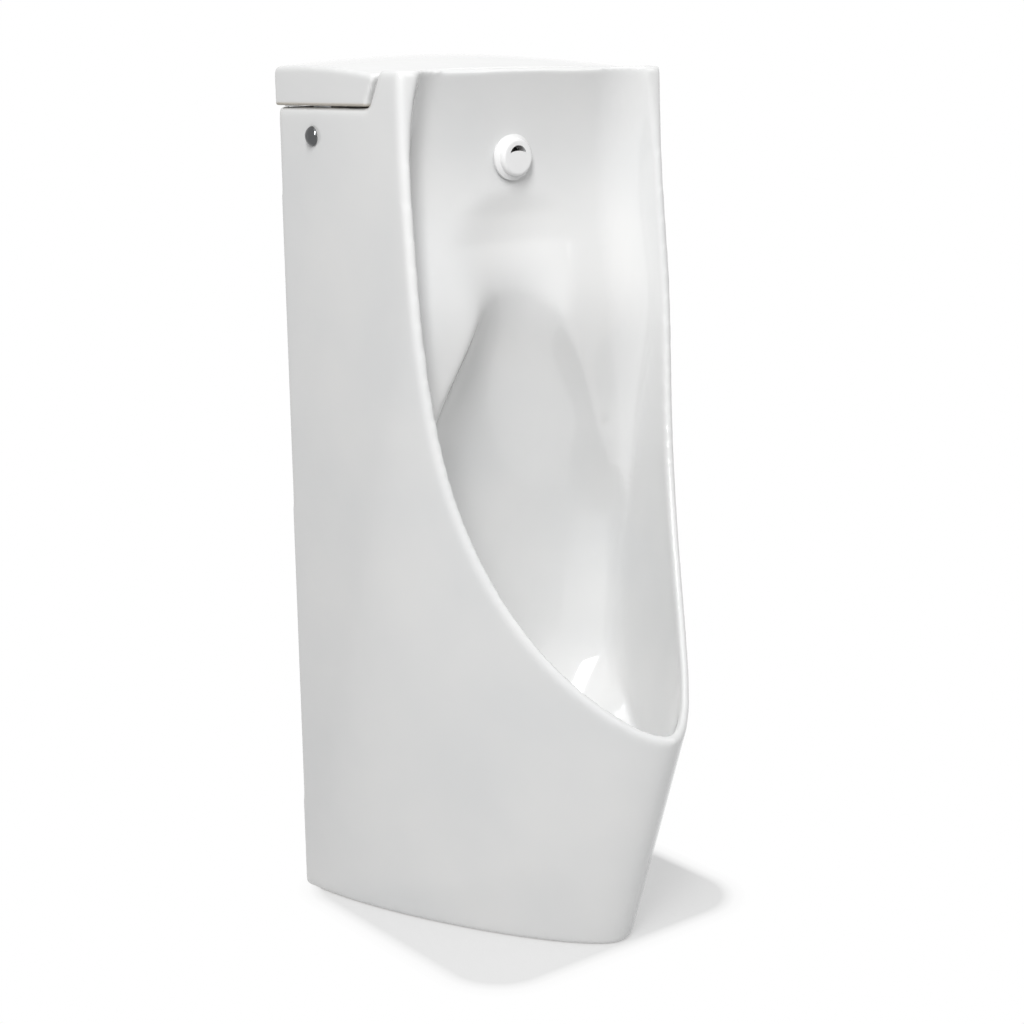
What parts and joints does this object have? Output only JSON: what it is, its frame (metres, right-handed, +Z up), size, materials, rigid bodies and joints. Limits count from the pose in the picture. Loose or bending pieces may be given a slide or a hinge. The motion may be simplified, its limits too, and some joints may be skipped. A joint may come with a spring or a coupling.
{
  "type": "floor-standing urinal",
  "caption": "Floor-standing urinal: leaning bow-shaped glazed pedestal, deep open bowl under a splash panel with spray nozzle, and a lift-off lid over a hidden flush valve.",
  "frame": {"origin": "on the floor, at the middle of the outline in plan", "axes": "+Z up, the front of the bowl faces -Y, the wall face is a plane of constant Y behind, and +X is the user's right when facing the wall from the front"},
  "size_m": [0.3506, 0.4231, 0.9098],
  "materials": {
    "glaze": "glossy white glaze",
    "chrome": "polished, dark plating",
    "nozzle_plastic": "glossy white",
    "rubber": "matte",
    "brass": "machined",
    "copper": null,
    "steel": "zinc plated or stainless",
    "grey_plastic": "moulded",
    "coil_plastic": "moulded black",
    "white_plastic": "moulded",
    "battery_wrap": "shrink wrap"
  },
  "bodies": {
    "pedestal": {"ceramic_body": "glaze", "lock_washers": "white_plastic", "lock_nuts": "steel", "spray_nozzle": "nozzle_plastic", "nozzle_gasket": "rubber", "nozzle_back_nut": "brass", "valve_shelf": "steel", "shelf_screws": "steel", "inlet_tail": "brass", "inlet_nut": "brass", "stop_valve_body": "brass", "solenoid_body": "grey_plastic", "solenoid_coil": "coil_plastic", "plunger_spring": "steel", "union_nuts": "brass", "valve_coupling": "brass", "flush_pipe": "copper", "nozzle_coupling": "brass", "control_box": "grey_plastic", "battery_pack": "battery_wrap", "radar_sensor": "coil_plastic", "sensor_pad_tape": "rubber", "fixing_sleeves": "white_plastic", "floor_flange": "grey_plastic", "outlet_gasket": "rubber", "flange_bolts": "steel"},
    "lid_unit": {"lid": "glaze", "lid_seat_pads": "rubber", "lid_tab_left": "steel", "lid_tab_right": "steel"},
    "left_screw": {"lock_screw_left": "chrome"},
    "right_screw": {"lock_screw_right": "chrome"},
    "stop_spindle_body": {"stop_spindle": "brass"},
    "plunger": {"solenoid_plunger": "steel"},
    "box_cover": {"control_box_cover": "grey_plastic"},
    "trap": {"trap_cartridge": "white_plastic", "trap_seal": "rubber"},
    "strainer": {"bowl_strainer": "chrome"}
  },
  "joints": [
    {"name": "lid_lift", "type": "slide", "parent": "pedestal", "child": "lid_unit", "axis": [0, 0, 1], "range_m": [0, 0.12]},
    {"name": "lock_screw_left_turn", "type": "hinge", "parent": "pedestal", "child": "left_screw", "pos_m": [0, 0.145, 0.831], "axis": [1, 0, 0], "range_deg": [0, 720]},
    {"name": "lock_screw_right_turn", "type": "hinge", "parent": "pedestal", "child": "right_screw", "pos_m": [0, 0.145, 0.831], "axis": [1, 0, 0], "range_deg": [-720, 0]},
    {"name": "stop_spindle_turn", "type": "hinge", "parent": "pedestal", "child": "stop_spindle_body", "pos_m": [-0.114, 0.134, 0.76], "axis": [0, 0, 1], "range_deg": [0, 90]},
    {"name": "plunger_stroke", "type": "slide", "parent": "pedestal", "child": "plunger", "axis": [0, 0, 1], "range_m": [0, 0.003], "stiffness_N_per_m": 300, "springref_m": -0.004, "deforming": ["plunger_spring"]},
    {"name": "box_cover_lift", "type": "slide", "parent": "pedestal", "child": "box_cover", "axis": [0, 0, 1], "range_m": [0, 0.05]},
    {"name": "trap_lift", "type": "slide", "parent": "pedestal", "child": "trap", "axis": [0, 0, 1], "range_m": [0, 0.1]},
    {"name": "strainer_lift", "type": "slide", "parent": "trap", "child": "strainer", "axis": [0, 0, 1], "range_m": [0, 0.05]}
  ]
}
